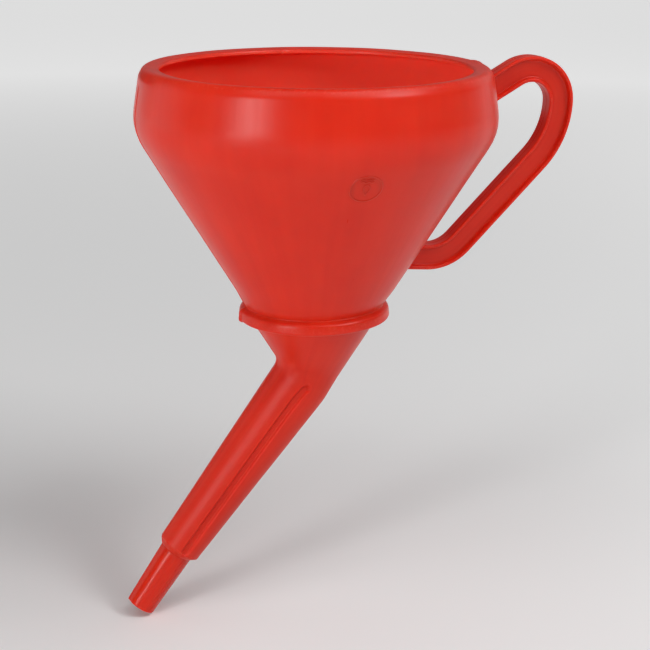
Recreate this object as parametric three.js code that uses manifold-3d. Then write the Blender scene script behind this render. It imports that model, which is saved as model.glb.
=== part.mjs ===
// Fuel funnel: a blow-moulded polyethylene body with an angled spout and a loop handle,
// and a loose brass strainer that lies on the ledge inside the bead of the cone.
// The one-piece body is divided at its feature lines, with a small gap at each division.
// Millimetres, +Z up. The handle is at +X and the spout leans towards -X, both in the plane Y = 0.
// The origin is the centre of the outlet. The bowl is drawn about its own axis, with Z = 0 at the
// mouth, and the spout is drawn straight and then bent along its centre line.
import * as THREE from "three";
import { mergeVertices } from "three/addons/utils/BufferGeometryUtils.js";
import Module from "manifold-3d";

// Driving dimensions
const WALL = 1.6;
const GAP = 0.3;
const ROUND_STEPS = 48;
const SPOUT_STEPS = 36;
const CURVE_STEPS = 6;

const LIP_INNER_RADIUS = 68.4;
const LIP_OUTER_RADIUS = 70.0;
const LAND_RADIUS = 74.2;
const SHOULDER_RADIUS = 77.6;
const SHOULDER_DEPTH = 4.0;
const BOWL_RADIUS = 80.0;
const BOWL_DEPTH = 21.5;
const CONE_START_DEPTH = 34.0;
const CONE_START_RADIUS = 75.6;
const CONE_SLOPE = 0.614;
const OUTLET_FLARE = 1.7;

const LIP_TAPER = 0.3;
const RIM_END_DEPTH = 5.0;
const LAND_CORNER = [76.8, 0.5];
const SHOULDER_CORNER = [79.1, 10.0];
const BOWL_CORNER = [80.1, 26.1];

const BEAD_TOP_DEPTH = 106.1;
const BEAD_RADIUS = 34.4;
const BEAD_EDGE_DEPTH = 108.4;
const BEAD_FOOT_DEPTH = 111.5;
const BEAD_END_DEPTH = 112.8;
const LEDGE_DEPTH = 110.2;
const LEDGE_INNER_RADIUS = 26.8;
const BEAD_CHAMFER = 0.7;
const BEAD_INNER_DROP = 0.5;
const CONE_END_DEPTH = BEAD_TOP_DEPTH - 2 * GAP;

const NECK_OFFSET = 0.7;
const ELBOW_DEPTH = 126.7;
const ELBOW_BEND_RADIUS = 25.0;
const ELBOW_LEAD = 4.0;
const ELBOW_FULLNESS = 0.3;
const ELBOW_REACH = 6.0;
const SPOUT_ANGLE = THREE.MathUtils.degToRad(36.9);
const TIP_ANGLE = THREE.MathUtils.degToRad(34.3);
const TUBE_START_RADIUS = 14.25;
const TUBE_END_RADIUS = 10.2;
const TUBE_LENGTH = 98.5;
const STEP_LENGTH = 2.5;
const STEP_COLLAR = 1.0;
const OUTLET_CHAMFER = 0.4;
const TIP_START_RADIUS = 7.65;
const TIP_END_RADIUS = 6.75;
const TIP_LENGTH = 31.6;

const VENT_RADIUS = 1.5;
const VENT_DEPTH = 1.0;
const VENT_INSET = 3.0;
const VENT_CAP_STEPS = 4;
const VENT_STEPS = 12;

const HANDLE_WIDTH = 12.0;
const HANDLE_DEPTH = 9.0;
const FLANGE_THICKNESS = 1.5;
const WEB_THICKNESS = 4.0;
const ARCH_CENTRE = { x: 99.8, z: -17.4 };
const ARCH_RADIUS = 14.8;
const ARM_RADIUS = 38.5;
const ARM_LENGTH = 45.4;
const FOOT_RADIUS = 34.0;
const ROOT_ANGLE = THREE.MathUtils.degToRad(30);
const ARM_ANGLE = THREE.MathUtils.degToRad(44);
const ROOT_LENGTH = 25.0;
const FOOT_LENGTH = 16.0;
const HANDLE_STEPS = 40;
const HANDLE_CLEARANCE = 1.2 * GAP;
const ABOVE_MOUTH = 5.0;

const STRAINER_RADIUS = 29.1;
const STRAINER_HOLE_RADIUS = 26.0;
const STRAINER_HEIGHT = 2.5;
const GAUZE_RADIUS = 27.9;
const GAUZE_THICKNESS = 0.8;

const EDGE_CHAMFER = 0.5;
const MERGE_TOLERANCE = 1e-4;
const DEPTH_TOLERANCE = 1e-6;

const MOULDED_FINISH = { color: 0xc93a26, roughness: 0.45, metalness: 0 };
const RING_FINISH = { color: 0xc9a257, roughness: 0.35, metalness: 1 };
const GAUZE_FINISH = { color: 0xc9a257, roughness: 0.4, metalness: 1 };

const wasm = await Module();
wasm.setup();

function coneRadius(depth) {
  return CONE_START_RADIUS - CONE_SLOPE * (depth - CONE_START_DEPTH);
}

// Booleans

function toSolid(geometry) {
  const bare = geometry.clone();
  bare.deleteAttribute("normal");
  bare.deleteAttribute("uv");
  const merged = mergeVertices(bare, MERGE_TOLERANCE);
  return new wasm.Manifold(new wasm.Mesh({
    numProp: 3,
    vertProperties: new Float32Array(merged.attributes.position.array),
    triVerts: new Uint32Array(merged.index.array),
  }));
}

function toGeometry(solid) {
  const mesh = solid.getMesh();
  const geometry = new THREE.BufferGeometry();
  geometry.setAttribute("position", new THREE.BufferAttribute(mesh.vertProperties, 3));
  geometry.setIndex(new THREE.BufferAttribute(mesh.triVerts, 1));
  return geometry;
}

// Turned shells: an outline of radius and depth, from the top down, thickened inwards by the wall

function turned(outline, steps = ROUND_STEPS) {
  const closed = [...outline, outline[0]];
  const profile = closed.map(([radius, depth]) => new THREE.Vector2(radius, -depth));
  return new THREE.LatheGeometry(profile, steps).rotateX(Math.PI / 2);
}

function inwardNormal(from, to) {
  const length = Math.hypot(to[0] - from[0], to[1] - from[1]);
  return [-(to[1] - from[1]) / length, (to[0] - from[0]) / length];
}

function insetOutline(outer, distance) {
  const last = outer.length - 1;
  return outer.map((point, i) => {
    const before = inwardNormal(outer[Math.max(i - 1, 0)], outer[Math.max(i, 1)]);
    const after = inwardNormal(outer[Math.min(i, last - 1)], outer[Math.min(i + 1, last)]);
    const scale = distance / (1 + before[0] * after[0] + before[1] * after[1]);
    return [point[0] + (before[0] + after[0]) * scale, point[1] + (before[1] + after[1]) * scale];
  });
}

function shell(outer) {
  const inner = insetOutline(outer, WALL);
  return [...inner, ...outer.slice().reverse()];
}

function curved(start, corner, end) {
  const curve = new THREE.QuadraticBezierCurve(
    new THREE.Vector2(...start), new THREE.Vector2(...corner), new THREE.Vector2(...end));
  return curve.getPoints(CURVE_STEPS).map((point) => [point.x, point.y]);
}

function slice(outline, top, bottom) {
  const at = (depth) => {
    const i = outline.findIndex((point, k) => k > 0 && point[1] >= depth);
    const [a, b] = [outline[i - 1], outline[i]];
    const share = (depth - a[1]) / (b[1] - a[1]);
    return [a[0] + (b[0] - a[0]) * share, depth];
  };
  const [from, to] = [top + DEPTH_TOLERANCE, bottom - DEPTH_TOLERANCE];
  const inside = outline.filter((point) => point[1] > from && point[1] < to);
  return [at(top), ...inside, at(bottom)];
}

// The bowl's outside, from the lip to the bead

const SHOULDER = [SHOULDER_RADIUS, SHOULDER_DEPTH];
const WIDEST = [BOWL_RADIUS, BOWL_DEPTH];
const CONE_START = [CONE_START_RADIUS, CONE_START_DEPTH];
const bowlSide = [
  ...curved(SHOULDER, SHOULDER_CORNER, WIDEST),
  ...curved(WIDEST, BOWL_CORNER, CONE_START).slice(1),
  [coneRadius(BEAD_TOP_DEPTH), BEAD_TOP_DEPTH],
];

function bowlRim() {
  const land = curved([LAND_RADIUS, 0], LAND_CORNER, SHOULDER);
  const foot = slice(bowlSide, SHOULDER_DEPTH, RIM_END_DEPTH).slice(1);
  const outer = [[LIP_OUTER_RADIUS, 0], ...land, ...foot];
  const inner = insetOutline(outer, WALL);
  inner[0] = [LIP_INNER_RADIUS, 0];
  inner[1] = [LIP_INNER_RADIUS + LIP_TAPER, WALL];
  return turned([...inner, ...outer.slice().reverse()]);
}

function bowlBand() {
  return turned(shell(slice(bowlSide, RIM_END_DEPTH + GAP, BOWL_DEPTH)));
}

function bowlCone() {
  return turned(shell(slice(bowlSide, BOWL_DEPTH + GAP, CONE_END_DEPTH)));
}

function strainerSeat() {
  const slope = Math.atan(CONE_SLOPE);
  const across = WALL * Math.cos(slope);
  const rise = WALL * Math.sin(slope);
  const outer = [
    [coneRadius(BEAD_TOP_DEPTH), BEAD_TOP_DEPTH],
    [BEAD_RADIUS - BEAD_CHAMFER, BEAD_EDGE_DEPTH - BEAD_CHAMFER],
    [BEAD_RADIUS, BEAD_EDGE_DEPTH],
    [BEAD_RADIUS, BEAD_FOOT_DEPTH - EDGE_CHAMFER],
    [BEAD_RADIUS - EDGE_CHAMFER, BEAD_FOOT_DEPTH],
    [coneRadius(BEAD_END_DEPTH) + OUTLET_FLARE, BEAD_END_DEPTH],
  ];
  const inner = [
    [coneRadius(BEAD_TOP_DEPTH) - across, BEAD_TOP_DEPTH - rise],
    [BEAD_RADIUS - WALL, BEAD_EDGE_DEPTH + BEAD_INNER_DROP],
    [BEAD_RADIUS - WALL, LEDGE_DEPTH],
    [LEDGE_INNER_RADIUS, LEDGE_DEPTH],
    [coneRadius(BEAD_END_DEPTH) + OUTLET_FLARE - across, BEAD_END_DEPTH - rise],
  ];
  return bent(turned([...inner, ...outer.reverse()]));
}

// The spout's centre line: straight down, set off a little from the bowl's axis, then an elbow, the
// tube, and a slight turn at the step into the tip

const ELBOW_LENGTH = ELBOW_BEND_RADIUS * SPOUT_ANGLE;
const TUBE_DEPTH = ELBOW_DEPTH + ELBOW_LENGTH;
const STEP_DEPTH = TUBE_DEPTH + TUBE_LENGTH;
const TIP_DEPTH = STEP_DEPTH + STEP_LENGTH;
const OUTLET_DEPTH = TIP_DEPTH + TIP_LENGTH;
const COURSES = [
  { length: ELBOW_DEPTH, turn: 0 },
  { length: ELBOW_LENGTH, turn: SPOUT_ANGLE },
  { length: TUBE_LENGTH, turn: 0 },
  { length: STEP_LENGTH, turn: TIP_ANGLE - SPOUT_ANGLE },
  { length: TIP_LENGTH, turn: 0 },
];

function centreLine(depth) {
  let [x, z, angle, left] = [-NECK_OFFSET, 0, 0, depth];
  for (const [i, { length, turn }] of COURSES.entries()) {
    const run = i === COURSES.length - 1 ? left : Math.min(left, length);
    const swept = turn * (run / length);
    const chord = swept === 0 ? run : 2 * (run / swept) * Math.sin(swept / 2);
    x -= chord * Math.sin(angle + swept / 2);
    z -= chord * Math.cos(angle + swept / 2);
    angle += swept;
    left -= run;
  }
  return { x, z, angle };
}

function bent(geometry) {
  const position = geometry.attributes.position;
  for (let i = 0; i < position.count; i++) {
    const across = position.getX(i);
    const { x, z, angle } = centreLine(-position.getZ(i));
    position.setX(i, x + across * Math.cos(angle));
    position.setZ(i, z - across * Math.sin(angle));
  }
  return geometry;
}

function outletRadius(depth) {
  return coneRadius(depth) + OUTLET_FLARE;
}

function outletCone() {
  const top = BEAD_END_DEPTH + GAP;
  const bottom = ELBOW_DEPTH - ELBOW_LEAD;
  return bent(turned(shell([[outletRadius(top), top], [outletRadius(bottom), bottom]])));
}

function spoutElbow() {
  const top = ELBOW_DEPTH - ELBOW_LEAD + GAP;
  const bend = [outletRadius(ELBOW_DEPTH), ELBOW_DEPTH];
  const corner = [TUBE_START_RADIUS + ELBOW_FULLNESS, TUBE_DEPTH - ELBOW_REACH];
  const outer = [
    [outletRadius(top), top],
    ...curved(bend, corner, [TUBE_START_RADIUS, TUBE_DEPTH]),
  ];
  return bent(turned(shell(outer)));
}

function tubeRadius(depth) {
  const share = (depth - TUBE_DEPTH) / TUBE_LENGTH;
  return TUBE_START_RADIUS + (TUBE_END_RADIUS - TUBE_START_RADIUS) * share;
}

function ventBar(side) {
  const taper = Math.atan((TUBE_START_RADIUS - TUBE_END_RADIUS) / TUBE_LENGTH);
  const middle = TUBE_DEPTH + TUBE_LENGTH / 2;
  const length = TUBE_LENGTH - 2 * VENT_INSET - 2 * VENT_RADIUS;
  const bar = new THREE.CapsuleGeometry(VENT_RADIUS, length, VENT_CAP_STEPS, VENT_STEPS);
  bar.rotateX(Math.PI / 2 - side * taper);
  bar.translate(0, side * (tubeRadius(middle) + VENT_RADIUS - VENT_DEPTH), -middle);
  return toSolid(bar);
}

function spoutTube() {
  const top = TUBE_DEPTH + GAP;
  const outer = [[tubeRadius(top), top], [TUBE_END_RADIUS, STEP_DEPTH]];
  const tube = toSolid(turned(shell(outer), SPOUT_STEPS));
  return bent(toGeometry(tube.subtract(ventBar(1)).subtract(ventBar(-1))));
}

function nozzleStep() {
  const outer = [
    [TUBE_END_RADIUS, STEP_DEPTH + GAP],
    [TIP_START_RADIUS, TIP_DEPTH],
    [TIP_START_RADIUS, TIP_DEPTH + STEP_COLLAR],
  ];
  const inner = outer.map(([radius, depth]) => [radius - WALL, depth]);
  return bent(turned([...inner, ...outer.reverse()], SPOUT_STEPS));
}

function nozzleTip() {
  const outer = [
    [TIP_START_RADIUS, TIP_DEPTH + STEP_COLLAR + GAP],
    [TIP_END_RADIUS, OUTLET_DEPTH - OUTLET_CHAMFER],
    [TIP_END_RADIUS - OUTLET_CHAMFER, OUTLET_DEPTH],
  ];
  const inner = [
    [TIP_START_RADIUS - WALL, TIP_DEPTH + STEP_COLLAR + GAP],
    [TIP_END_RADIUS - WALL, OUTLET_DEPTH],
  ];
  return bent(turned([...inner, ...outer.reverse()], SPOUT_STEPS));
}

// The handle: an I-section band in the plane Y = 0, trimmed clear of the bowl

function handleCentreLine() {
  const path = new THREE.Path();
  const root = { x: Math.cos(ROOT_ANGLE), z: Math.sin(ROOT_ANGLE) };
  const arm = { x: Math.cos(ARM_ANGLE), z: Math.sin(ARM_ANGLE) };
  const archX = ARCH_CENTRE.x - ARCH_RADIUS * root.z;
  const archZ = ARCH_CENTRE.z + ARCH_RADIUS * root.x;
  const armX = ARCH_CENTRE.x + ARCH_RADIUS - ARM_RADIUS;
  const footX = armX + (ARM_RADIUS - FOOT_RADIUS) * arm.x - ARM_LENGTH * arm.z;
  const footZ = ARCH_CENTRE.z - (ARM_RADIUS - FOOT_RADIUS) * arm.z - ARM_LENGTH * arm.x;
  path.moveTo(archX - ROOT_LENGTH * root.x, archZ - ROOT_LENGTH * root.z);
  path.lineTo(archX, archZ);
  path.absarc(ARCH_CENTRE.x, ARCH_CENTRE.z, ARCH_RADIUS, Math.PI / 2 + ROOT_ANGLE, 0, true);
  path.absarc(armX, ARCH_CENTRE.z, ARM_RADIUS, 0, -ARM_ANGLE, true);
  path.absarc(footX, footZ, FOOT_RADIUS, -ARM_ANGLE, -Math.PI / 2, true);
  path.lineTo(footX - FOOT_LENGTH, footZ - FOOT_RADIUS);
  const points = path.getSpacedPoints(HANDLE_STEPS);
  return new THREE.CatmullRomCurve3(points.map((point) => new THREE.Vector3(point.x, 0, point.y)));
}

function handleSection() {
  const [edge, side] = [HANDLE_WIDTH / 2, HANDLE_DEPTH / 2];
  const [web, step] = [WEB_THICKNESS / 2, edge - FLANGE_THICKNESS];
  const quarter = [
    [web, step - EDGE_CHAMFER],
    [side - EDGE_CHAMFER, step],
    [side, step + EDGE_CHAMFER],
    [side, edge - EDGE_CHAMFER],
    [side - EDGE_CHAMFER, edge],
  ];
  const mirrored = quarter.map(([x, y]) => [-x, y]).reverse();
  const half = [...quarter, ...mirrored];
  const otherHalf = half.map(([x, y]) => [-x, -y]);
  return new THREE.Shape([...half, ...otherHalf].map(([x, y]) => new THREE.Vector2(x, y)));
}

function bowlEnvelope() {
  const side = bowlSide.map(([radius, depth]) => [radius + HANDLE_CLEARANCE, depth]);
  const outline = [
    [0, -ABOVE_MOUTH],
    [0, BEAD_TOP_DEPTH],
    ...side.reverse(),
    [SHOULDER_RADIUS + GAP, -ABOVE_MOUTH],
  ];
  return toSolid(turned(outline));
}

function handle() {
  const band = new THREE.ExtrudeGeometry(handleSection(), {
    steps: HANDLE_STEPS,
    bevelEnabled: false,
    extrudePath: handleCentreLine(),
  });
  return toGeometry(toSolid(band).subtract(bowlEnvelope()));
}

// The strainer: a brass ring with a slot inside, and the gauze held in the slot

const STRAINER_BASE_DEPTH = LEDGE_DEPTH - GAP;

function strainerRing() {
  const top = STRAINER_BASE_DEPTH - STRAINER_HEIGHT;
  const middle = STRAINER_BASE_DEPTH - STRAINER_HEIGHT / 2;
  const slot = GAUZE_THICKNESS / 2 + GAP;
  const outline = [
    [STRAINER_HOLE_RADIUS, top],
    [STRAINER_HOLE_RADIUS, middle - slot],
    [GAUZE_RADIUS + GAP, middle - slot],
    [GAUZE_RADIUS + GAP, middle + slot],
    [STRAINER_HOLE_RADIUS, middle + slot],
    [STRAINER_HOLE_RADIUS, STRAINER_BASE_DEPTH],
    [STRAINER_RADIUS - EDGE_CHAMFER, STRAINER_BASE_DEPTH],
    [STRAINER_RADIUS, STRAINER_BASE_DEPTH - EDGE_CHAMFER],
    [STRAINER_RADIUS, top + EDGE_CHAMFER],
    [STRAINER_RADIUS - EDGE_CHAMFER, top],
  ];
  return bent(turned(outline));
}

function strainerGauze() {
  const middle = STRAINER_BASE_DEPTH - STRAINER_HEIGHT / 2;
  const disc = new THREE.CylinderGeometry(
    GAUZE_RADIUS, GAUZE_RADIUS, GAUZE_THICKNESS, ROUND_STEPS);
  return bent(disc.rotateX(Math.PI / 2).translate(0, 0, -middle));
}

// Assembly

const funnel = new THREE.Group();

function addPiece(name, geometry, finish) {
  const mesh = new THREE.Mesh(geometry, new THREE.MeshStandardMaterial(finish));
  mesh.name = name;
  funnel.add(mesh);
}

const moulded = {
  bowl_rim: bowlRim(),
  bowl_band: bowlBand(),
  bowl_cone: bowlCone(),
  strainer_seat: strainerSeat(),
  outlet_cone: outletCone(),
  spout_elbow: spoutElbow(),
  spout_tube: spoutTube(),
  nozzle_step: nozzleStep(),
  nozzle_tip: nozzleTip(),
  handle: handle(),
};
for (const [name, geometry] of Object.entries(moulded)) {
  addPiece(name, geometry, MOULDED_FINISH);
}
addPiece("strainer_ring", strainerRing(), RING_FINISH);
addPiece("strainer_gauze", strainerGauze(), GAUZE_FINISH);

const outlet = centreLine(OUTLET_DEPTH);
funnel.position.set(-outlet.x, 0, -outlet.z);

export default funnel;
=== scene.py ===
"""Fuel funnel: the moulded body with its handle, and the lift-out strainer, round the CAD frame."""

import math

import bpy
import numpy as np
from mathutils import Matrix, Vector, noise


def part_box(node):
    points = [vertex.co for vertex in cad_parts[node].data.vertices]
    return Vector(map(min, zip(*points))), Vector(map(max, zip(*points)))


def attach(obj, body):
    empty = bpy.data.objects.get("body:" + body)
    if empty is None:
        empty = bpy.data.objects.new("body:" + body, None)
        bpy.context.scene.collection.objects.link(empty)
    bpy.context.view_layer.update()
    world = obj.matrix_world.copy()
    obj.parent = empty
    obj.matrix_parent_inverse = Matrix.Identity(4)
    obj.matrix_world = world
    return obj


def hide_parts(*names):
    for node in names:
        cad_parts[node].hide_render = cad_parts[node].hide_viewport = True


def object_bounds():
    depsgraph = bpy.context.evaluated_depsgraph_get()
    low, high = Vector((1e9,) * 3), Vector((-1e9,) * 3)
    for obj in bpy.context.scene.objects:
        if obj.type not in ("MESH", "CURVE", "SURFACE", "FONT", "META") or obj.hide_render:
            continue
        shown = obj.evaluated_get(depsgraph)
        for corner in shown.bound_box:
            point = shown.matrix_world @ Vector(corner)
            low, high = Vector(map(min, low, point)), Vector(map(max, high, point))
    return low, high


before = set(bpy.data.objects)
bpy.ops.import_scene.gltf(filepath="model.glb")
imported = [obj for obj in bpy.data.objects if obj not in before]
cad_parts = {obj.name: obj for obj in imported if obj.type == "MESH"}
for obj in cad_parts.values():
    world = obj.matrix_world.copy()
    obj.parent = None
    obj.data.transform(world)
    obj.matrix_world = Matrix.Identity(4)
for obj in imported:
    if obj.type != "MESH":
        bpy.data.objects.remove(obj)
CAD_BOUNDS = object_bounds()

# The bowl's axis and the mouth plane come from the frame. Lengths below are in millimetres. A place
# beside the bowl's axis is (across, depth): across is along X, and depth is down from the mouth.
MM = 0.001
BAND_LOW, BAND_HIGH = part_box("bowl_band")
_, RIM_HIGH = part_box("bowl_rim")
AXIS_X = (BAND_LOW.x + BAND_HIGH.x) / 2
MOUTH_Z = RIM_HIGH.z

WALL = 1.6
LIP_RADIUS = 68.4
CREST_CORNER, SHOULDER_CORNER = (75.0, -1.2), (77.3, 2.6)
BOWL_CORNER = (80.8, 25.0)
CONE_RADIUS, CONE_DEPTH, CONE_SLOPE = 75.6, 34.0, 0.614
BEAD_TOP, BEAD_EDGE, BEAD_FOOT, BEAD_END = 105.9, 107.4, 111.8, 113.0
BEAD_RADIUS = 34.4
BEAD_LEAN = 0.015
LEDGE_DEPTH, LEDGE_RADIUS = 110.2, 26.8
NECK_OFFSET, NECK_FLARE, NECK_END = 0.45, 1.4, 116.0
OFFSET_START, OFFSET_LENGTH = 96, 10
LEAN_START, LEAN_END, LEAN_LENGTH = 98, 122, 8

# The spout's axis leaves the bowl's axis at the elbow. Distances on it are measured from there.
ELBOW_DEPTH = 134.7
SPOUT_ANGLE, TIP_TURN = math.radians(36.9), math.radians(2.6)
ELBOW_END = 30.0
TUBE_START, TUBE_END, TIP_START, OUTLET = 8.7, 107.2, 109.7, 140.8
TUBE_RADII = (14.15, 10.1)
TIP_RADII = (7.65, 6.75)
INNER_BEND, OUTER_BEND = 6.0, 30.0
BEND_STEPS = 26
ROUNDNESS = 16

VENT_DEPTH, VENT_HALF_WIDTH = 1.45, 2.0
VENT_FLOOR, VENT_WALL = 0.6, 0.42
VENT_TOP, VENT_BOTTOM, VENT_TURN = 7.0, 105.6, math.radians(7.0)
FLASH_START, FLASH_HEIGHT, FLASH_HALF_WIDTH = 4.0, 0.28, 0.4

# The surface's flow coordinates lie on a cylinder of this radius
FLOW_RADIUS = 40

# Small marks of the moulding
NUB_HEIGHT, NUB_HALF_WIDTH, NUB_EASE = 0.6, 1.1, 1.0
NOTCH_DEPTH, NOTCH_HALF_WIDTH, NOTCH_EASE = 0.5, 0.3, 0.6
BROAD_WAVE, BROAD_WAVE_SIZE = 0.10, 26.0
FINE_WAVE, FINE_WAVE_SIZE = 0.035, 7.0
RIPPLE_ANGLE, RIPPLE_SPREAD = math.radians(238), 0.35
RIPPLE_START, RIPPLE_HEIGHT, RIPPLE_TURNS, RIPPLE_SLANT = 78, 0.05, 2.7, 7.5
FAIRING_HEIGHT, FAIRING_HALF_WIDTH = 0.5, 5.2
FAIRING_START, FAIRING_END = 71, 12
RAGGED_HEIGHT, BURR_HEIGHT = 0.07, 0.5
BURR_ANGLE, BURR_HALF_WIDTH = math.radians(88.5), 0.8

HANDLE_WIDTH, HANDLE_DEPTH = 12.0, 9.0
FLANGE, WEB = 1.5, 4.0
HANDLE_FLASH, HANDLE_SLIMMING = 0.13, 0.22
HANDLE_STEPS, ROOT_SINK = 150, 0.7
HANDLE_EASE, HANDLE_WAVE, HANDLE_WAVE_SIZE = 0.06, 0.05, 9.0
ROOT_FLARE, ROOT_FLARE_REACH = 1.8, 2.8
HANDLE_START = (70.75, 17.2)
HANDLE_HEADING = math.radians(30)
HANDLE_COURSES = (
    (25.0, 0.0),
    (14.8 * math.radians(120), math.radians(-120)),
    (38.5 * math.radians(44), math.radians(-44)),
    (45.4, 0.0),
    (6.0, 0.0),
    (20.0 * math.radians(50), math.radians(-50)),
    (22.0, math.radians(-2)),
)

STRAINER_RADIUS, STRAINER_HOLE, STRAINER_HEIGHT = 29.0, 26.0, 2.5
STRAINER_GAP, SHEET, CRIMP, CRIMP_COUNT = 0.3, 0.45, 0.07, 48
CRIMP_END, RING_COLUMNS = 28.4, 288
GAUZE_RADIUS, GAUZE_PITCH, WIRE = 27.8, 1.5, 0.38
WIRE_SIDES, STEPS_PER_PITCH = 5, 4


def smooth(t):
    t = np.clip(t, 0.0, 1.0)
    return t * t * (3 - 2 * t)


def cone_radius(depth):
    return CONE_RADIUS - CONE_SLOPE * (depth - CONE_DEPTH)


def neck_radius(depth):
    return cone_radius(depth) + NECK_FLARE


def tube_radius(distance):
    part = (distance - TUBE_START) / (TUBE_END - TUBE_START)
    return TUBE_RADII[0] + (TUBE_RADII[1] - TUBE_RADII[0]) * part


# Outlines


def line_to(points, end, step):
    start = points[-1]
    count = max(1, math.ceil(np.linalg.norm(end - start) / step))
    for i in range(1, count + 1):
        points.append(start + (end - start) * i / count)


def rounded(corners, step, turn=math.radians(9)):
    """Points along an outline of (x, y, fillet) corners, with the fillets as smooth curves."""
    points = [np.array(corners[0][:2], float)]
    for before, corner, after in zip(corners, corners[1:], corners[2:]):
        here = np.array(corner[:2], float)
        back = np.array(before[:2], float) - here
        on = np.array(after[:2], float) - here
        back_length, on_length = np.linalg.norm(back), np.linalg.norm(on)
        back, on = back / back_length, on / on_length
        angle = math.pi - math.acos(max(-1.0, min(1.0, float(back @ on))))
        reach = min(corner[2] * math.tan(angle / 2), 0.49 * back_length, 0.49 * on_length)
        start, end = here + back * reach, here + on * reach
        line_to(points, start, step)
        count = max(2, math.ceil(angle / turn))
        for i in range(1, count + 1):
            t = i / count
            points.append((1 - t) ** 2 * start + 2 * t * (1 - t) * here + t * t * end)
    line_to(points, np.array(corners[-1][:2], float), step)
    return np.array(points)


def resampled(points, count):
    lengths = np.concatenate([[0], np.cumsum(np.linalg.norm(np.diff(points, axis=0), axis=1))])
    at = np.linspace(0, lengths[-1], count)
    return np.stack([np.interp(at, lengths, points[:, i]) for i in range(2)], axis=1)


def walk(distance, courses, heading):
    """Where a path of (length, turn) courses has got to, and its heading there."""
    across, up, left = 0.0, 0.0, distance
    for i, (length, turn) in enumerate(courses):
        run = left if i == len(courses) - 1 else min(left, length)
        swept = turn * run / length
        chord = run if swept == 0 else 2 * run / swept * math.sin(swept / 2)
        across += chord * math.cos(heading + swept / 2)
        up += chord * math.sin(heading + swept / 2)
        heading += swept
        left -= run
    return across, up, heading


# Stations: each is a ring's centre (across, depth), its tilt, its half width in the plane Y = 0,
# its half width across that plane, and how far along the body it is


def bowl_stations(outline):
    offset = -NECK_OFFSET * smooth((outline[:, 1] - OFFSET_START) / OFFSET_LENGTH)
    return [(o, d, 0.0, r, r, d) for (r, d), o in zip(outline, offset)]


def spout_stations(outline):
    stations = []
    courses = ((TUBE_END, 0.0), (TIP_START - TUBE_END, TIP_TURN), (OUTLET, 0.0))
    for radius, distance in outline:
        across, up, heading = walk(distance, courses, -math.pi / 2 - SPOUT_ANGLE)
        tilt = -math.pi / 2 - heading
        stations.append((across - NECK_OFFSET, ELBOW_DEPTH - up, tilt, radius, radius,
                         ELBOW_DEPTH + distance))
    return stations


def neck_edge(side, depth):
    return np.array((side * neck_radius(depth) - NECK_OFFSET, depth))


def tube_edge(side, distance):
    axis = np.array((-math.sin(SPOUT_ANGLE), math.cos(SPOUT_ANGLE)))
    beside = np.array((math.cos(SPOUT_ANGLE), math.sin(SPOUT_ANGLE)))
    return (-NECK_OFFSET, ELBOW_DEPTH) + axis * distance + beside * side * tube_radius(distance)


def crossing(a, b, c, d):
    """Where the line through a and b meets the line through c and d."""
    share = np.linalg.solve(np.stack([b - a, c - d], axis=1), c - a)
    return a + (b - a) * share[0]


def elbow_edge(side, bend):
    """The neck's edge, a fillet and the tube's edge, with as many points before the bend as after."""
    start, end = neck_edge(side, NECK_END), tube_edge(side, ELBOW_END)
    corner = crossing(start, neck_edge(side, NECK_END + 10), end, tube_edge(side, ELBOW_END - 10))
    points = rounded([(*start, 0), (*corner, bend), (*end, 0)], 0.5, math.radians(3))
    middle = int(np.argmin(np.linalg.norm(points - corner, axis=1)))
    before, after = points[:middle + 1], points[middle:]
    return np.concatenate([resampled(before, BEND_STEPS), resampled(after, BEND_STEPS)[1:]])


def elbow_stations(inset):
    inner, outer = elbow_edge(-1, INNER_BEND), elbow_edge(1, OUTER_BEND)
    stations = []
    for i in range(1, len(inner) - 1):
        centre, half = (inner[i] + outer[i]) / 2, (outer[i] - inner[i]) / 2
        part = i / (len(inner) - 1)
        tilt = math.atan2(half[1], half[0])
        in_plane = float(np.linalg.norm(half))
        cone = math.sqrt(neck_radius(inner[i][1]) * max(neck_radius(outer[i][1]), 0.1))
        tube = tube_radius(ELBOW_END * part)
        across = (cone ** ROUNDNESS + tube ** ROUNDNESS) ** (1 / ROUNDNESS)
        between = float(smooth(part * 8) * smooth((1 - part) * 4))
        across = in_plane + (across - in_plane) * between
        along = NECK_END + (ELBOW_DEPTH + ELBOW_END - NECK_END) * part
        stations.append((*centre, tilt, in_plane - inset, across - inset, along))
    return stations


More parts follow.
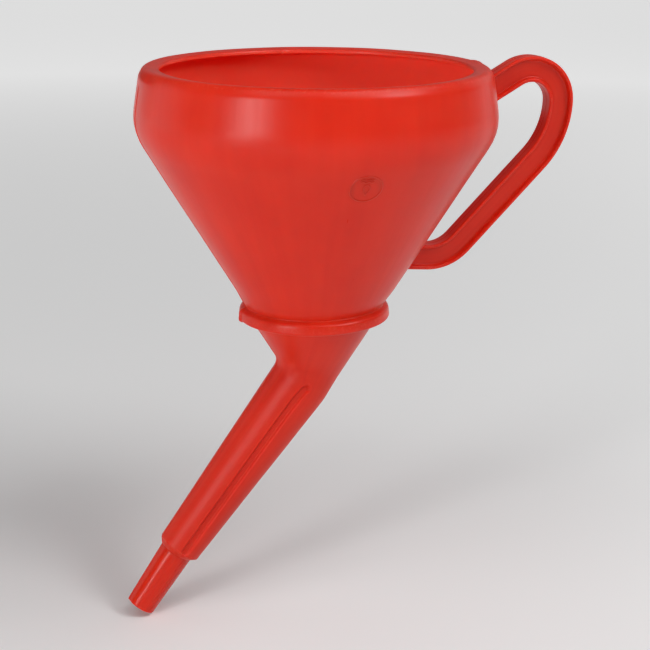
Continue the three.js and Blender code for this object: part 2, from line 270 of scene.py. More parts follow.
def body_stations():
    across = WALL * math.hypot(1, CONE_SLOPE)
    outside = (
        bowl_stations(rounded([
            (LIP_RADIUS, 0.0, 0),
            (*CREST_CORNER, 6.0),
            (*SHOULDER_CORNER, 6.0),
            (*BOWL_CORNER, 23.0),
            (cone_radius(BEAD_TOP), BEAD_TOP, 0.5),
            (BEAD_RADIUS - 0.5, BEAD_EDGE, 2.6),
            (BEAD_RADIUS, BEAD_FOOT, 1.1),
            (neck_radius(BEAD_END), BEAD_END, 0.7),
            (neck_radius(NECK_END), NECK_END, 0),
        ], 1.6))
        + elbow_stations(0.0)
        + spout_stations(rounded([
            (tube_radius(ELBOW_END), ELBOW_END, 0),
            (TUBE_RADII[1], TUBE_END, 0.5),
            (TIP_RADII[0], TIP_START, 0.9),
            (TIP_RADII[1], OUTLET, 0.6),
            (TIP_RADII[1] - 1.0, OUTLET, 0),
        ], 1.0))
    )
    inside = (
        spout_stations(rounded([
            (TIP_RADII[1] - 1.1, OUTLET, 0),
            (TIP_RADII[1] - WALL, OUTLET, 0.3),
            (TIP_RADII[0] - WALL, TIP_START + 0.4, 0.9),
            (TUBE_RADII[1] - WALL, TUBE_END - 0.6, 0.9),
            (tube_radius(ELBOW_END) - WALL, ELBOW_END, 0),
        ], 1.6))
        + elbow_stations(WALL)[::-1]
        + bowl_stations(rounded([
            (neck_radius(NECK_END) - WALL, NECK_END, 0),
            (neck_radius(BEAD_END) - across, BEAD_END, 0.6),
            (LEDGE_RADIUS, LEDGE_DEPTH, 0.5),
            (BEAD_RADIUS - WALL, LEDGE_DEPTH, 0.5),
            (BEAD_RADIUS - WALL, BEAD_EDGE + 1.0, 0.8),
            (cone_radius(BEAD_TOP) - across, BEAD_TOP, 0.6),
            (BOWL_CORNER[0] - 1.75, BOWL_CORNER[1] - 0.3, 18.0),
            (SHOULDER_CORNER[0] - 1.6, SHOULDER_CORNER[1] + 0.4, 4.0),
            (CREST_CORNER[0] - 1.0, CREST_CORNER[1] + WALL, 4.0),
            (LIP_RADIUS + 0.25, WALL, 0.25),
            (LIP_RADIUS, 0.0, 0),
        ], 2.0))[:-1]
    )
    return np.array(outside), np.array(inside)


# Round skins: columns are closest together at the parting line and at the vents

PARTING_OFFSETS = (0.15, 0.3, 0.5, 0.9, 1.4, 2.0, 2.8)
VENT_OFFSETS = (0.5, 0.95, 1.2, 1.45, 1.7, 1.95, 2.6)
BETWEEN = 30


def vent_turn(along):
    """Below the elbow the vents are turned a little towards -X."""
    part = np.clip((along - ELBOW_DEPTH - VENT_TOP) / (VENT_BOTTOM - VENT_TOP), 0, 1)
    return VENT_TURN * math.sin(math.pi * part ** 0.4)


def column_angles(radius, turn):
    marks = []
    centres = (0.0, math.pi / 2 + turn, math.pi, 1.5 * math.pi - turn, 2 * math.pi)
    for quarter in range(4):
        offsets = (PARTING_OFFSETS, VENT_OFFSETS)[quarter % 2]
        next_offsets = (VENT_OFFSETS, PARTING_OFFSETS)[quarter % 2]
        near = [centres[quarter] + o / radius for o in (0.0, *offsets)]
        far = [centres[quarter + 1] - o / radius for o in reversed(next_offsets)]
        gap = far[0] - near[-1]
        marks += near + [near[-1] + gap * i / (BETWEEN + 1) for i in range(1, BETWEEN + 1)] + far
    return marks


def lofted(stations, angles):
    """The grid of points (across, y, depth) on the rings."""
    centre_x, depth, tilt, in_plane, across, _ = (stations[:, i, None] for i in range(6))
    side = in_plane * np.cos(angles)
    x = centre_x + side * np.cos(tilt)
    near_bead = smooth((depth - LEAN_START) / LEAN_LENGTH) * smooth((LEAN_END - depth) / LEAN_LENGTH)
    down = depth + side * np.sin(tilt) - side * BEAD_LEAN * near_bead
    return np.stack([x, across * np.sin(angles), down], axis=2)


def grid_normals(grid):
    """Outward normals of a grid that closes on itself in both directions."""
    around = np.roll(grid, -1, axis=1) - np.roll(grid, 1, axis=1)
    along = np.roll(grid, -1, axis=0) - np.roll(grid, 1, axis=0)
    normals = np.cross(around, along)
    return normals / np.maximum(np.linalg.norm(normals, axis=2, keepdims=True), 1e-9)


def wavy(grid, size, seed):
    flat = grid.reshape(-1, 3) / size + seed
    return np.array([noise.noise(Vector(p)) for p in flat]).reshape(grid.shape[:2])


def vent_relief(stations, angles):
    along, radius = stations[:, 5, None], stations[:, 4, None]
    turn = np.array([vent_turn(a) for a in stations[:, 5]])[:, None]
    from_parting = np.abs(angles % (2 * math.pi) - math.pi)
    distance = radius * np.abs(from_parting - (math.pi / 2 - turn))
    top, bottom = ELBOW_DEPTH + VENT_TOP, ELBOW_DEPTH + VENT_BOTTOM
    beyond = np.maximum(np.maximum(top - along, along - bottom), 0)
    reach = np.hypot(distance, beyond) / VENT_HALF_WIDTH
    return -VENT_DEPTH * (1 - smooth((reach - VENT_FLOOR) / VENT_WALL))


def parting_relief(stations, angles, grid):
    """The flash, a nub on the bead's left end and a notch on its right end."""
    along, side = stations[:, 5, None], np.abs(grid[:, :, 1])
    left = np.cos(angles) < 0
    below_lip = smooth((along - FLASH_START) / FLASH_START)
    relief = FLASH_HEIGHT * np.maximum(0, 1 - (side / FLASH_HALF_WIDTH) ** 2) * below_lip
    on_bead = smooth((along - BEAD_TOP) / 2) * smooth((BEAD_END - along) / 0.8)
    relief += NUB_HEIGHT * left * on_bead * (1 - smooth((side - NUB_HALF_WIDTH) / NUB_EASE))
    relief -= NOTCH_DEPTH * ~left * on_bead * (1 - smooth((side - NOTCH_HALF_WIDTH) / NOTCH_EASE))
    return relief


def ripple_relief(stations, angles, grid):
    """Chevron ripples on the front of the tube's end."""
    along = stations[:, 5, None]
    turn = angles - RIPPLE_ANGLE
    phase = along * RIPPLE_TURNS + RIPPLE_SLANT * np.abs(turn) + 1.5 * wavy(grid, 4.0, 5.0)
    near_end = smooth((along - ELBOW_DEPTH - RIPPLE_START) / 8)
    near_end = near_end * smooth((ELBOW_DEPTH + TUBE_END - along) / 3)
    return RIPPLE_HEIGHT * np.sin(phase) * near_end * np.exp(-(turn / RIPPLE_SPREAD) ** 2)


def fairing_relief(stations, angles, grid):
    """The shoulder is a little fuller over the handle's root."""
    on_shoulder = smooth((grid[:, :, 0] - FAIRING_START) / 4)
    on_shoulder = on_shoulder * smooth((FAIRING_END - stations[:, 5, None]) / 6)
    beside_root = np.exp(-(grid[:, :, 1] / FAIRING_HALF_WIDTH) ** 4) * (np.cos(angles) >= 0)
    return FAIRING_HEIGHT * beside_root * on_shoulder


def outside_relief(stations, angles, grid):
    waves = BROAD_WAVE * wavy(grid, BROAD_WAVE_SIZE, 3.0) + FINE_WAVE * wavy(grid, FINE_WAVE_SIZE, 9.0)
    return (
        parting_relief(stations, angles, grid)
        + vent_relief(stations, angles)
        + waves
        + ripple_relief(stations, angles, grid)
        + fairing_relief(stations, angles, grid)
    )


def lip_relief(stations, angles, grid):
    """The trimmed lip is a little ragged, and has a burr at the back."""
    along, radius = stations[:, 5, None], stations[:, 4, None]
    at_lip = (1 - smooth((radius - LIP_RADIUS - 0.4) / 0.6)) * (along < WALL + 0.5)
    burr = np.exp(-((angles - BURR_ANGLE) * LIP_RADIUS / BURR_HALF_WIDTH) ** 2)
    return at_lip * (RAGGED_HEIGHT * wavy(grid, 3.0, 1.0) + BURR_HEIGHT * burr)


def closed_faces(rings, columns):
    faces = []
    for i in range(rings):
        this, after = i * columns, (i + 1) % rings * columns
        for j in range(columns):
            k = (j + 1) % columns
            faces.append((this + j, this + k, after + k, after + j))
    return faces


def to_frame(points):
    """From (across, y, depth) in millimetres to the frame, in metres."""
    points = np.asarray(points, float)
    return points * (MM, MM, -MM) + (AXIS_X, 0, MOUTH_Z)


def mesh_object(name, vertices, faces, material, body, flow=None, finish_and_painted_light=None):
    """A piece on a body. Flow lies along the mould's flow, and the last argument is (gloss, inside,
    worn edge), where inside marks the inner skin that is painted lighter as painted light.
    """
    mesh = bpy.data.meshes.new(name)
    mesh.from_pydata(np.asarray(vertices).tolist(), [], faces)
    if flow is not None:
        for key, values in (("flow", flow), ("finish_and_painted_light", finish_and_painted_light)):
            attribute = mesh.attributes.new(key, "FLOAT_VECTOR", "POINT")
            attribute.data.foreach_set("vector", np.asarray(values, np.float32).ravel())
    mesh.validate()
    mesh.shade_smooth()
    mesh.materials.append(material)
    piece = bpy.data.objects.new(name, mesh)
    bpy.context.scene.collection.objects.link(piece)
    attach(piece, body)
    return piece


def round_flow(angles, along):
    """Flow coordinates of a round skin: a place on a cylinder, and how far along the body it is."""
    return np.stack([FLOW_RADIUS * np.cos(angles), FLOW_RADIUS * np.sin(angles), along], axis=2)


def funnel_body(material):
    outside, inside = body_stations()
    stations = np.concatenate([outside, inside])
    angles = np.array([column_angles(max(s[4], 5.0), vent_turn(s[5])) for s in stations])
    grid = lofted(stations, angles)
    relief = np.zeros(grid.shape[:2])
    split = len(outside)
    relief[:split] = outside_relief(outside, angles[:split], grid[:split])
    relief[split:] = -vent_relief(inside, angles[split:])
    relief += lip_relief(stations, angles, grid)
    shaped = grid + grid_normals(grid) * relief[:, :, None]
    along = stations[:, 5, None] + np.zeros_like(angles)
    flow = round_flow(angles, along)
    on_tip = smooth((along - ELBOW_DEPTH - TUBE_END - 1) / 2)
    # Painted light: this marks the inner skin so that its colour is painted lighter, standing in for
    # light inside the bowl
    inner = np.zeros_like(angles)
    inner[split:] = 1
    edge = edge_wear(stations)[:, None] + np.zeros_like(angles)
    on_tube = smooth((along - ELBOW_DEPTH + 8) / 12) * (1 - on_tip)
    # Gloss is 1 on the tip, 0 on the bowl and -1 on the tube
    finish_and_painted_light = np.stack([on_tip - on_tube, inner, edge], axis=2)
    body = mesh_object("funnel_body", to_frame(shaped.reshape(-1, 3)), closed_faces(*angles.shape),
                       material, "funnel", flow.reshape(-1, 3), finish_and_painted_light.reshape(-1, 3))
    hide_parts("bowl_rim", "bowl_band", "bowl_cone", "strainer_seat", "outlet_cone",
                "spout_elbow", "spout_tube", "nozzle_step", "nozzle_tip")


def edge_wear(stations):
    """Where the body rubs on things: the lip, the bead's edge, the tube's end and the outlet."""
    along, radius = stations[:, 5], stations[:, 4]
    lip = 1 - smooth((along - 0.2) / 1.2)
    bead = smooth((radius - BEAD_RADIUS + 1.2) / 1.0) * (np.abs(along - BEAD_EDGE - 1) < 2.5)
    tube_end = np.exp(-((along - ELBOW_DEPTH - TUBE_END) / 1.2) ** 2)
    outlet = smooth((along - ELBOW_DEPTH - OUTLET + 1.5) / 1.5)
    return np.clip(lip * 0.5 + bead * 0.35 + tube_end * 0.7 + outlet, 0, 1)


# The handle


def handle_section():
    """A quarter of the I-shaped section is drawn and mirrored, with the flash on its two edges."""
    edge, side, web = HANDLE_WIDTH / 2 - HANDLE_SLIMMING, HANDLE_DEPTH / 2, WEB / 2
    quarter = [
        (edge + HANDLE_FLASH, 0.0, 0.1),
        (edge, 0.35, 0.3),
        (edge, side, 0.75),
        (edge - FLANGE, side - 0.1, 0.75),
        (edge - FLANGE - 0.35, web, 1.1),
    ]
    upper = quarter + [(-x, y, fillet) for x, y, fillet in reversed(quarter)]
    lower = [(-x, -y, fillet) for x, y, fillet in upper[1:-1]]
    corners = upper + lower
    closed = [corners[-1]] + corners + [corners[0], corners[1]]
    points = rounded(closed, 0.9, math.radians(18))
    away = np.linalg.norm(points - corners[0][:2], axis=1)
    first, last = int(np.argmin(away[:12])), int(np.argmin(away[::-1][:12]))
    return points[first:len(points) - 1 - last]


def bowl_outside():
    outside, _ = body_stations()
    side = outside[(outside[:, 5] > 1.5) & (outside[:, 5] < BEAD_TOP - 1)]
    return side[:, 5], side[:, 3]


def handle_place(distance, outwards):
    across, up, heading = walk(distance, HANDLE_COURSES, HANDLE_HEADING)
    x = HANDLE_START[0] + across - outwards * math.sin(heading)
    depth = HANDLE_START[1] - up - outwards * math.cos(heading)
    return x, depth


def distance_to_wall(distance, outwards, y, depths, radii):
    x, depth = handle_place(distance, outwards)
    return math.hypot(x, y) - float(np.interp(depth, depths, radii))


def wall_crossing(near, far, outwards, y, depths, radii, sink):
    """Where a line along the handle is sink millimetres inside the bowl's outer face."""
    for _ in range(30):
        middle = (near + far) / 2
        if distance_to_wall(middle, outwards, y, depths, radii) < -sink:
            near = middle
        else:
            far = middle
    return (near + far) / 2


def handle(material):
    section = handle_section()
    depths, radii = bowl_outside()
    total = sum(length for length, _ in HANDLE_COURSES)
    grid = np.zeros((HANDLE_STEPS + 1, len(section), 3))
    flow = np.zeros_like(grid)
    for j, (u, v) in enumerate(section):
        start = wall_crossing(0.0, total / 4, u, v, depths, radii, ROOT_SINK)
        end = wall_crossing(total + 16, total - 30, u, v, depths, radii, ROOT_SINK)
        for i in range(HANDLE_STEPS + 1):
            t = i / HANDLE_STEPS
            eased = t - math.sin(2 * math.pi * t) * HANDLE_EASE
            distance = start + (end - start) * eased
            gap = distance_to_wall(distance, u, v, depths, radii)
            flare = ROOT_FLARE * float(np.clip(1 - gap / ROOT_FLARE_REACH, 0, 1)) ** 2
            wide = math.copysign(flare, u) if abs(u) > (HANDLE_WIDTH - FLANGE) / 2 else 0.0
            tall = math.copysign(flare, v) if abs(v) > 0.2 else 0.0
            x, depth = handle_place(distance, u + wide)
            grid[i, j] = (x, v + tall, depth)
            flow[i, j] = (u * 3, v * 3, distance)
    wave = HANDLE_WAVE * wavy(grid, HANDLE_WAVE_SIZE, 2.0)
    grid[:, :, 1] += wave * np.sign(section[:, 1])
    rows, columns = grid.shape[:2]
    vertices = to_frame(grid.reshape(-1, 3))
    faces = closed_faces(rows, columns)[:(rows - 1) * columns]
    faces.append(tuple(range(columns - 1, -1, -1)))
    faces.append(tuple(range((rows - 1) * columns, rows * columns)))
    finish_and_painted_light = np.zeros_like(grid)
    finish_and_painted_light[:, :, 2] = smooth((np.abs(section[:, 1]) - HANDLE_DEPTH / 2 + 0.5) / 0.4) * 0.5
    piece = mesh_object("handle_loop", vertices, faces, material, "funnel",
                        flow.reshape(-1, 3), finish_and_painted_light.reshape(-1, 3))
    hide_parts("handle")


# The strainer: a folded brass ring with woven gauze in its fold


def lean_at(points):
    """The strainer lies on the ledge, which leans with the bead."""
    points = np.asarray(points, float).copy()
    points[..., 2] -= BEAD_LEAN * points[..., 0]
    points[..., 0] -= NECK_OFFSET
    return points


def strainer_ring(material):
    low = LEDGE_DEPTH - STRAINER_GAP
    high = low - STRAINER_HEIGHT
    section = rounded([
        (STRAINER_HOLE + 1.5, low, 0),
        (STRAINER_RADIUS, low, 0.9),
        (STRAINER_RADIUS, high, 0.9),
        (STRAINER_HOLE, high, 0.2),
        (STRAINER_HOLE, high + SHEET, 0.2),
        (STRAINER_RADIUS - SHEET, high + SHEET, 0.5),
        (STRAINER_RADIUS - SHEET, low - SHEET, 0.5),
        (STRAINER_HOLE, low - SHEET, 0.2),
        (STRAINER_HOLE, low, 0.2),
        (STRAINER_HOLE + 1.5, low, 0),
    ], 0.7, math.radians(22))[:-1]
    angles = np.linspace(0, 2 * math.pi, RING_COLUMNS, endpoint=False)
    radius, depth = section[:, 0, None], section[:, 1, None]
    on_rim = smooth((radius - STRAINER_HOLE) / 0.8) * smooth((CRIMP_END - radius) / 0.8)
    crimp = CRIMP * np.cos(CRIMP_COUNT * angles) * on_rim
    on_top = depth < (low + high) / 2
    grid = np.stack([
        radius * np.cos(angles),
        radius * np.sin(angles),
        depth + np.where(on_top, crimp, 0.0),
    ], axis=2)
    faces = closed_faces(len(section), RING_COLUMNS)
    piece = mesh_object("strainer_rolled_ring", to_frame(lean_at(grid.reshape(-1, 3))), faces, material,
                        "strainer")
    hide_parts("strainer_ring")


def wire(run_length, beside, sign, middle, direction):
    """The points of one wire, along X or Y, as rings that weave up and down."""
    count = math.ceil(run_length / GAUZE_PITCH * STEPS_PER_PITCH)
    points = []
    for i in range(count + 1):
        run = -run_length / 2 + run_length * i / count
        weave = sign * WIRE / 2 * math.cos(math.pi * run / GAUZE_PITCH)
        for k in range(WIRE_SIDES):
            a = 2 * math.pi * k / WIRE_SIDES
            off, high = WIRE / 2 * math.cos(a), WIRE / 2 * math.sin(a)
            x, y = (run, beside + off) if direction == 0 else (beside + off, run)
            points.append((x, y, middle + weave + high))
    return count, points


def strainer_gauze(material):
    middle = LEDGE_DEPTH - STRAINER_GAP - STRAINER_HEIGHT / 2
    vertices, faces = [], []
    reach = int(GAUZE_RADIUS / GAUZE_PITCH)
    for direction in range(2):
        turned = -1 if direction == 0 else 1
        for row in range(-reach, reach + 1):
            beside = row * GAUZE_PITCH
            half = math.sqrt(max(GAUZE_RADIUS ** 2 - beside ** 2, 0))
            if half < GAUZE_PITCH:
                continue
            base = len(vertices)
            sign = 1 if (row + direction) % 2 == 0 else -1
            count, points = wire(2 * half, beside, sign, middle, direction)
            vertices += points
            for i in range(count):
                for k in range(WIRE_SIDES):
                    a = base + i * WIRE_SIDES + k
                    b = base + i * WIRE_SIDES + (k + 1) % WIRE_SIDES
                    faces.append((a, a + WIRE_SIDES, b + WIRE_SIDES, b)[::turned])
            first = tuple(range(base, base + WIRE_SIDES))
            last = tuple(range(base + count * WIRE_SIDES, base + (count + 1) * WIRE_SIDES))
            faces += [first[::-turned], last[::turned]]
    piece = mesh_object("strainer_woven_gauze", to_frame(lean_at(vertices)), faces, material,
                        "strainer")
    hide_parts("strainer_gauze")


# The moulder's mark: a ring with a drop over two waves, raised on the front of the cone

MARK_ANGLE, MARK_DEPTH, MARK_RADIUS = math.radians(-88.8), 39.4, 7.1
MARK_FIELD, MARK_LINE_HEIGHT, MARK_LINE_WIDTH = 0.04, 0.36, 0.33
MARK_EDGE, MARK_BACK = -0.15, -0.35
MARK_SPOKES, MARK_RINGS = 120, 34


def segment_distance(x, y, path):
    best = np.full(x.shape, 1e9)
    for (ax, ay), (bx, by) in zip(path, path[1:]):
        dx, dy = bx - ax, by - ay
        t = np.clip(((x - ax) * dx + (y - ay) * dy) / (dx * dx + dy * dy), 0, 1)
        best = np.minimum(best, np.hypot(x - ax - t * dx, y - ay - t * dy))
    return best


def mark_height(x, y):
    drop_angles = np.linspace(-1, 1, 33) * math.pi
    drop = [(1.9 * math.sin(a) * math.cos(a / 2) ** 1.2, 0.7 - 2.7 * math.cos(a)) for a in drop_angles]
    ring = np.abs(np.hypot(x, y) - MARK_RADIUS + 0.4)
    distance = np.minimum(ring, segment_distance(x, -y, drop))
    for level in (3.5, 4.7):
        wave = [(t, -level - 0.3 * math.sin(2.4 * t)) for t in np.linspace(-2.6, 2.6, 21)]
        distance = np.minimum(distance, segment_distance(x, -y, wave))
    return MARK_FIELD + MARK_LINE_HEIGHT * (1 - smooth(distance / MARK_LINE_WIDTH - 0.15))


def mould_mark(material):
    depths, radii = bowl_outside()
    slope = math.atan(CONE_SLOPE)
    top, flow = [], []
    reach = np.linspace(0.12, MARK_RADIUS + 0.25, MARK_RINGS)
    angles = np.linspace(0, 2 * math.pi, MARK_SPOKES, endpoint=False)
    x, y = reach[:, None] * np.cos(angles), reach[:, None] * np.sin(angles)
    height = mark_height(x, y)
    height[-1] = MARK_EDGE
    for sheet in (height, np.full_like(height, MARK_BACK)):
        depth = MARK_DEPTH - y * math.cos(slope)
        radius = np.interp(depth, depths, radii) + sheet / math.cos(slope)
        turn = MARK_ANGLE + x / radius
        top.append(np.stack([radius * np.cos(turn), radius * np.sin(turn), depth], axis=2))
        flow.append(round_flow(turn, depth))
    grid = np.concatenate([top[0], top[1][::-1]])
    rows, columns = grid.shape[:2]
    faces = closed_faces(rows, columns)[:(rows - 1) * columns]
    faces = [face[::-1] for face in faces]
    faces.append(tuple(range(columns)))
    faces.append(tuple(range(rows * columns - 1, (rows - 1) * columns - 1, -1)))
    flow = np.concatenate([flow[0], flow[1][::-1]])
    mesh_object("mould_mark", to_frame(grid.reshape(-1, 3)), faces, material, "funnel",
                flow.reshape(-1, 3), np.zeros_like(grid).reshape(-1, 3))


# Materials


class Surface:
    """A material's Principled shader, and short ways to add nodes in front of it."""

    def __init__(self, name, **values):
        self.material = bpy.data.materials.new(name)
        self.material.use_nodes = True
        self.nodes = self.material.node_tree.nodes
        self.links = self.material.node_tree.links
        self.shader = self.nodes["Principled BSDF"]
        for key, value in values.items():
            self.shader.inputs[key.replace("_", " ")].default_value = value

    def feed(self, key, output):
        self.links.new(output, self.shader.inputs[key])

    def add(self, kind, attributes=None, **values):
        node = self.nodes.new(kind)
        for key, value in (attributes or {}).items():
            setattr(node, key, value)
        for key, value in values.items():
            node.inputs[key].default_value = value
        return node

    def position(self):
        return self.add("ShaderNodeNewGeometry").outputs["Position"]

    def attribute(self, name):
        return self.add("ShaderNodeAttribute", {"attribute_name": name}).outputs["Vector"]

    def remap(self, source, low, high, to_low, to_high):
        node = self.add("ShaderNodeMapRange")
        keys = ("From Min", "From Max", "To Min", "To Max")
        for key, value in zip(keys, (low, high, to_low, to_high)):
            node.inputs[key].default_value = value
        self.links.new(source, node.inputs["Value"])
        return node.outputs["Result"]

    def calculate(self, operation, a, b):
        node = self.add("ShaderNodeMath", {"operation": operation})
        for socket, value in zip(node.inputs, (a, b)):
            if isinstance(value, (int, float)):
                socket.default_value = value
            else:
                self.links.new(value, socket)
        return node.outputs["Value"]

    def plus(self, a, b, share):
        """a, with a share of b added."""
        return self.calculate("ADD", a, self.calculate("MULTIPLY", b, share))

    def mix(self, factor, a, b):
        node = self.add("ShaderNodeMix", {"data_type": "RGBA"})
        self.links.new(factor, node.inputs["Factor"])
        for socket, value in ((node.inputs[6], a), (node.inputs[7], b)):
            if isinstance(value, tuple):
                socket.default_value = value
            else:
                self.links.new(value, socket)
        return node.outputs[2]

    def noise(self, vector, scale, detail, stretch=None, distortion=0.0):
        if stretch:
            mapping = self.add("ShaderNodeMapping", Scale=stretch)
            self.links.new(vector, mapping.inputs["Vector"])
            vector = mapping.outputs["Vector"]
        node = self.add("ShaderNodeTexNoise", Scale=scale, Detail=detail, Distortion=distortion)
        self.links.new(vector, node.inputs["Vector"])
        return node.outputs["Fac"]

    def bump(self, height, strength, distance):
        node = self.add("ShaderNodeBump", Strength=strength, Distance=distance)
        self.links.new(height, node.inputs["Height"])
        self.feed("Normal", node.outputs["Normal"])


RED = (0.71, 0.028, 0.009, 1)
RED_DEEP = (0.64, 0.021, 0.007, 1)
RED_SCUFFED = (0.78, 0.09, 0.055, 1)
# Painted light: a lighter red for the inner skin, standing in for light inside the bowl
RED_INSIDE_PAINTED_LIGHT = (1.0, 0.11, 0.065, 1)
BRASS_DARK, BRASS_BRIGHT = (0.70, 0.46, 0.16, 1), (0.83, 0.62, 0.28, 1)
TARNISH = (0.30, 0.17, 0.07, 1)


def polyethylene():
    """Blow-moulded polyethylene: waxy and satin, with flow lines down the body and a glossier tip. The
    inner skin is painted a lighter red as painted light inside the bowl.
    """
    surface = Surface("polyethylene", IOR=1.5, Specular_IOR_Level=0.23, Subsurface_Weight=0.6,
                      Subsurface_Radius=(1.0, 0.12, 0.06), Subsurface_Scale=0.003)
    position, flow = surface.position(), surface.attribute("flow")
    parts = surface.add("ShaderNodeSeparateXYZ")
    surface.links.new(surface.attribute("finish_and_painted_light"), parts.inputs["Vector"])
    gloss, inside, edge = (parts.outputs[key] for key in "XYZ")

    cloud = surface.noise(position, 30.0, 3.0)
    streak = surface.noise(flow, 0.9, 2.0, (1.0, 1.0, 0.035))
    broad_streak = surface.noise(flow, 0.25, 2.0, (1.0, 1.0, 0.05))
    peel = surface.noise(position, 900.0, 2.0)
    grain = surface.noise(position, 3500.0, 1.0)
    scratch = surface.noise(position, 700.0, 4.0, None, 0.8)

    tone = surface.plus(surface.calculate("MULTIPLY", cloud, 0.6), broad_streak, 0.4)
    colour = surface.mix(surface.remap(tone, 0.35, 0.65, 0, 1), RED_DEEP, RED)
    scuff = surface.calculate("MULTIPLY", edge, surface.remap(scratch, 0.52, 0.68, 0, 0.8))
    colour = surface.mix(scuff, colour, RED_SCUFFED)
    # Painted light: the inner skin takes a lighter red that stands in for light falling inside the bowl
    surface.feed("Base Color", surface.mix(inside, colour, RED_INSIDE_PAINTED_LIGHT))

    roughness = surface.remap(cloud, 0.3, 0.7, 0.29, 0.35)
    roughness = surface.calculate("ADD", roughness, surface.remap(streak, 0.3, 0.7, -0.02, 0.02))
    roughness = surface.plus(roughness, gloss, -0.11)
    surface.feed("Roughness", surface.plus(roughness, scuff, 0.15))

    height = surface.remap(streak, 0.3, 0.7, 0, 0.12)
    height = surface.plus(surface.plus(height, peel, 0.25), grain, 0.06)
    surface.bump(height, 0.5, 0.00012)
    return surface.material


def brass(name, low_roughness, high_roughness):
    surface = Surface(name, Metallic=1.0)
    position = surface.position()
    cloud = surface.noise(position, 120.0, 4.0)
    tarnish = surface.noise(position, 420.0, 3.0)
    colour = surface.mix(surface.remap(cloud, 0.35, 0.65, 0, 1), BRASS_DARK, BRASS_BRIGHT)
    colour = surface.mix(surface.remap(tarnish, 0.58, 0.72, 0, 0.5), colour, TARNISH)
    surface.feed("Base Color", colour)
    surface.feed("Roughness", surface.remap(cloud, 0.3, 0.7, low_roughness, high_roughness))
    surface.bump(surface.noise(position, 2500.0, 2.0), 0.4, 0.00004)
    return surface.material


# Stage


FLOOR_SIZE, FLOOR_CLEARANCE = 12.0, 0.0002
FLOOR_COLOUR = (0.85, 0.85, 0.85, 1)
WORLD_STRENGTH = 0.06
LIGHT_TARGET_DROP = 0.08


def stage():
    """A plain pale floor that glows a little more further away, and a dim plain world."""
    mesh = bpy.data.meshes.new("floor")
    corners = [(-1, -1), (1, -1), (1, 1), (-1, 1)]
    level = CAD_BOUNDS[0].z - FLOOR_CLEARANCE
    mesh.from_pydata([(x * FLOOR_SIZE, y * FLOOR_SIZE, level) for x, y in corners], [], [(0, 1, 2, 3)])
    floor = bpy.data.objects.new("floor", mesh)
    bpy.context.scene.collection.objects.link(floor)
    surface = Surface("floor", Base_Color=FLOOR_COLOUR, Roughness=0.9, Emission_Color=(1, 1, 1, 1))
    distance = surface.add("ShaderNodeVectorMath", {"operation": "LENGTH"})
    surface.links.new(surface.position(), distance.inputs[0])
    surface.feed("Emission Strength", surface.remap(distance.outputs["Value"], 0.1, 2.0, 0.04, 0.6))
    mesh.materials.append(surface.material)
    world = bpy.data.worlds.new("studio")
    world.use_nodes = True
    background = world.node_tree.nodes["Background"]
    background.inputs["Color"].default_value = (1, 1, 1, 1)
    background.inputs["Strength"].default_value = WORLD_STRENGTH
    bpy.context.scene.world = world


def soft_light(name, azimuth, elevation, distance, width, height, power):
    """A rectangular soft light that faces the middle of the bowl. Azimuth 0 is -Y, and 90 is +X."""
    target = Vector((AXIS_X, 0, MOUTH_Z - LIGHT_TARGET_DROP))
    a, e = math.radians(azimuth), math.radians(elevation)
    back = Vector((math.sin(a) * math.cos(e), -math.cos(a) * math.cos(e), math.sin(e)))
    data = bpy.data.lights.new(name, "AREA")
    data.shape = "RECTANGLE"
    data.energy = power
    data.size, data.size_y = width, height
    light = bpy.data.objects.new(name, data)
    light.location = target + back * distance
    light.visible_camera = False
    light.rotation_euler = (-back).to_track_quat("-Z", "Y").to_euler()
    bpy.context.scene.collection.objects.link(light)


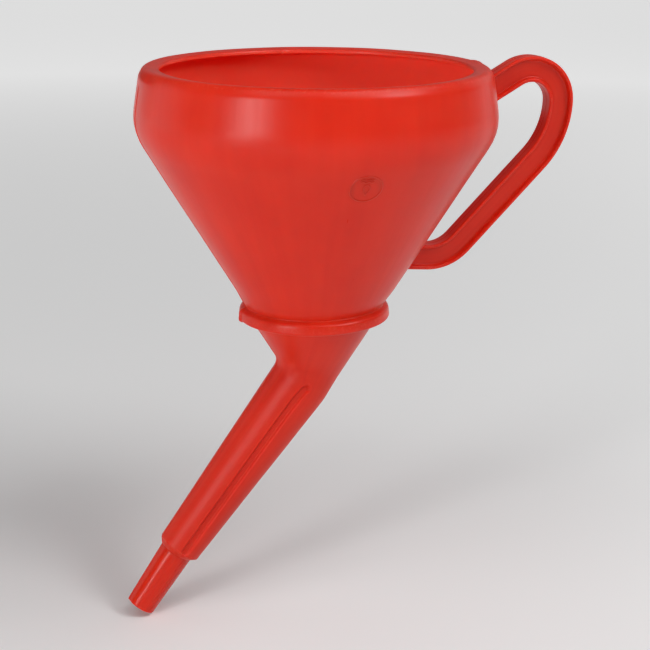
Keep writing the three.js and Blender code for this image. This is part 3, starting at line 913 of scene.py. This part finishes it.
# Each light: name, azimuth, elevation, distance, width, height and power
LIGHTS = (
    ("key_left", -53, 13, 1.3, 0.32, 0.4, 5.0),
    ("tip_left", -61, 2, 1.3, 0.2, 0.2, 1.3),
    ("left_back", -120, 12, 1.5, 0.8, 0.8, 1.6),
    ("left_front", -50, 55, 1.5, 0.7, 0.7, 3.0),
    ("front_above", 28, 58, 1.5, 1.0, 0.6, 6.2),
    ("right_front", 44, 38, 1.5, 0.5, 0.3, 6.2),
    ("right_above", 75, 55, 1.5, 0.7, 0.7, 3.0),
    ("right_back", 120, 15, 1.5, 0.8, 0.8, 1.2),
    ("far_floor", 165, 25, 4.5, 4.0, 4.0, 8.0),
)

CAMERA_AZIMUTH = math.radians(-15.0)
CAMERA_DISTANCE = 0.650
CAMERA_HEIGHT = 0.0796
CAMERA_YAW, CAMERA_PITCH, CAMERA_ROLL = 0.00712, 0.29382, 0.00814
FOCAL_LENGTH, SENSOR_WIDTH = 82.1, 36.0


def camera():
    data = bpy.data.cameras.new("camera")
    data.lens = FOCAL_LENGTH
    data.sensor_width = SENSOR_WIDTH
    data.clip_start = 0.01
    view = bpy.data.objects.new("camera", data)
    right = Vector((math.cos(CAMERA_AZIMUTH), math.sin(CAMERA_AZIMUTH), 0))
    ahead = Vector((-math.sin(CAMERA_AZIMUTH), math.cos(CAMERA_AZIMUTH), 0))
    stand = Vector((AXIS_X, 0, MOUTH_Z + CAMERA_HEIGHT)) - ahead * CAMERA_DISTANCE
    forward = (ahead * math.cos(CAMERA_YAW) + right * math.sin(CAMERA_YAW)) * math.cos(CAMERA_PITCH)
    forward.z = -math.sin(CAMERA_PITCH)
    side = forward.cross(Vector((0, 0, 1))).normalized()
    up = side.cross(forward)
    turned = side * math.cos(CAMERA_ROLL) + up * math.sin(CAMERA_ROLL)
    lifted = up * math.cos(CAMERA_ROLL) - side * math.sin(CAMERA_ROLL)
    rotation = Matrix((turned, lifted, -forward)).transposed().to_4x4()
    view.matrix_world = Matrix.Translation(stand) @ rotation
    bpy.context.scene.collection.objects.link(view)
    bpy.context.scene.camera = view


bpy.context.scene.view_settings.view_transform = "Standard"
camera()
stage()
for light in LIGHTS:
    soft_light(*light)
red = polyethylene()
funnel_body(red)
handle(red)
mould_mark(red)
strainer_ring(brass("strainer_brass", 0.26, 0.40))
strainer_gauze(brass("strainer_gauze", 0.32, 0.45))
